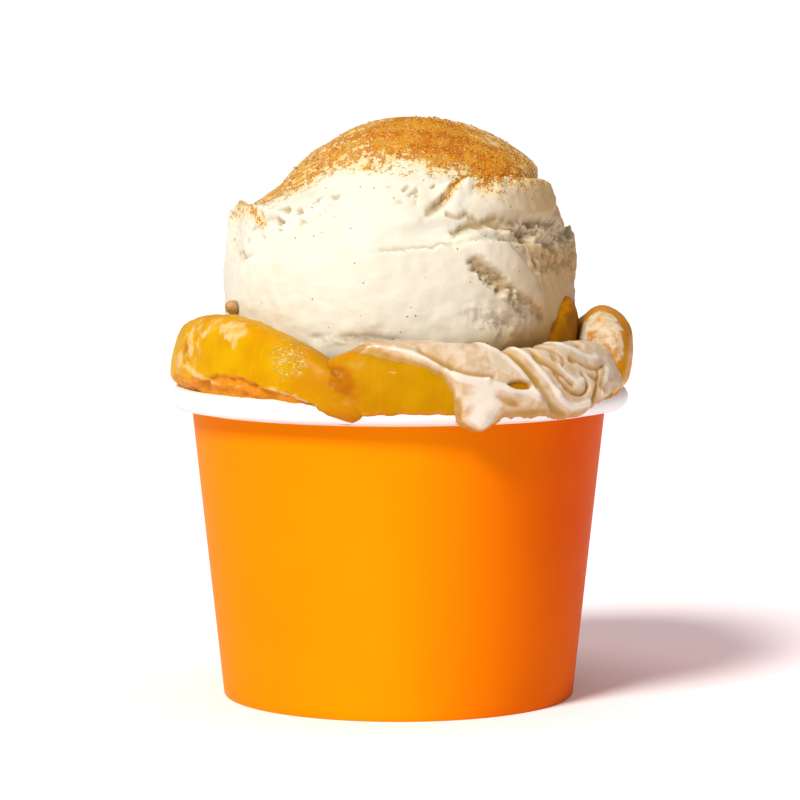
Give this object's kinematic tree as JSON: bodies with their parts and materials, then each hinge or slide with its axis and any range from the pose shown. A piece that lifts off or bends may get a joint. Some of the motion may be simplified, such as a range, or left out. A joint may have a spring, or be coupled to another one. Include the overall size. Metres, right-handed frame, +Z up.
{
  "type": "peach cobbler in a paper cup with ice cream",
  "caption": "Paper dessert cup of peach cobbler: peach slices in syrup round the rim under a large vanilla ice cream scoop dusted with cinnamon, with melted cream over one side.",
  "frame": {"origin": "centre of the cup's foot, on the surface that it stands on", "axes": "+Z up along the cup's axis, -Y towards the shown side with the drip of cream, +X to the viewer's right"},
  "size_m": [0.0968, 0.0963, 0.1208],
  "materials": {
    "printed_paper": "orange print under a satin coat, white rolled rim and inside",
    "white_board": "matt white board",
    "syrup_filling": "wet amber syrup and fruit",
    "peach": "wet translucent fruit",
    "vanilla": "soft ice cream, cinnamon-dusted on top"
  },
  "bodies": {
    "root": {"cup_wall": "printed_paper", "cup_floor": "white_board", "peach_filling": "syrup_filling", "peach_left": "peach", "peach_front": "peach", "peach_right": "peach", "peach_end": "peach", "peach_chunk": "peach", "peach_back_right": "peach", "peach_back": "peach", "peach_back_left": "peach", "melted_cream": "vanilla", "vanilla_scoop": "vanilla"}
  },
  "joints": []
}
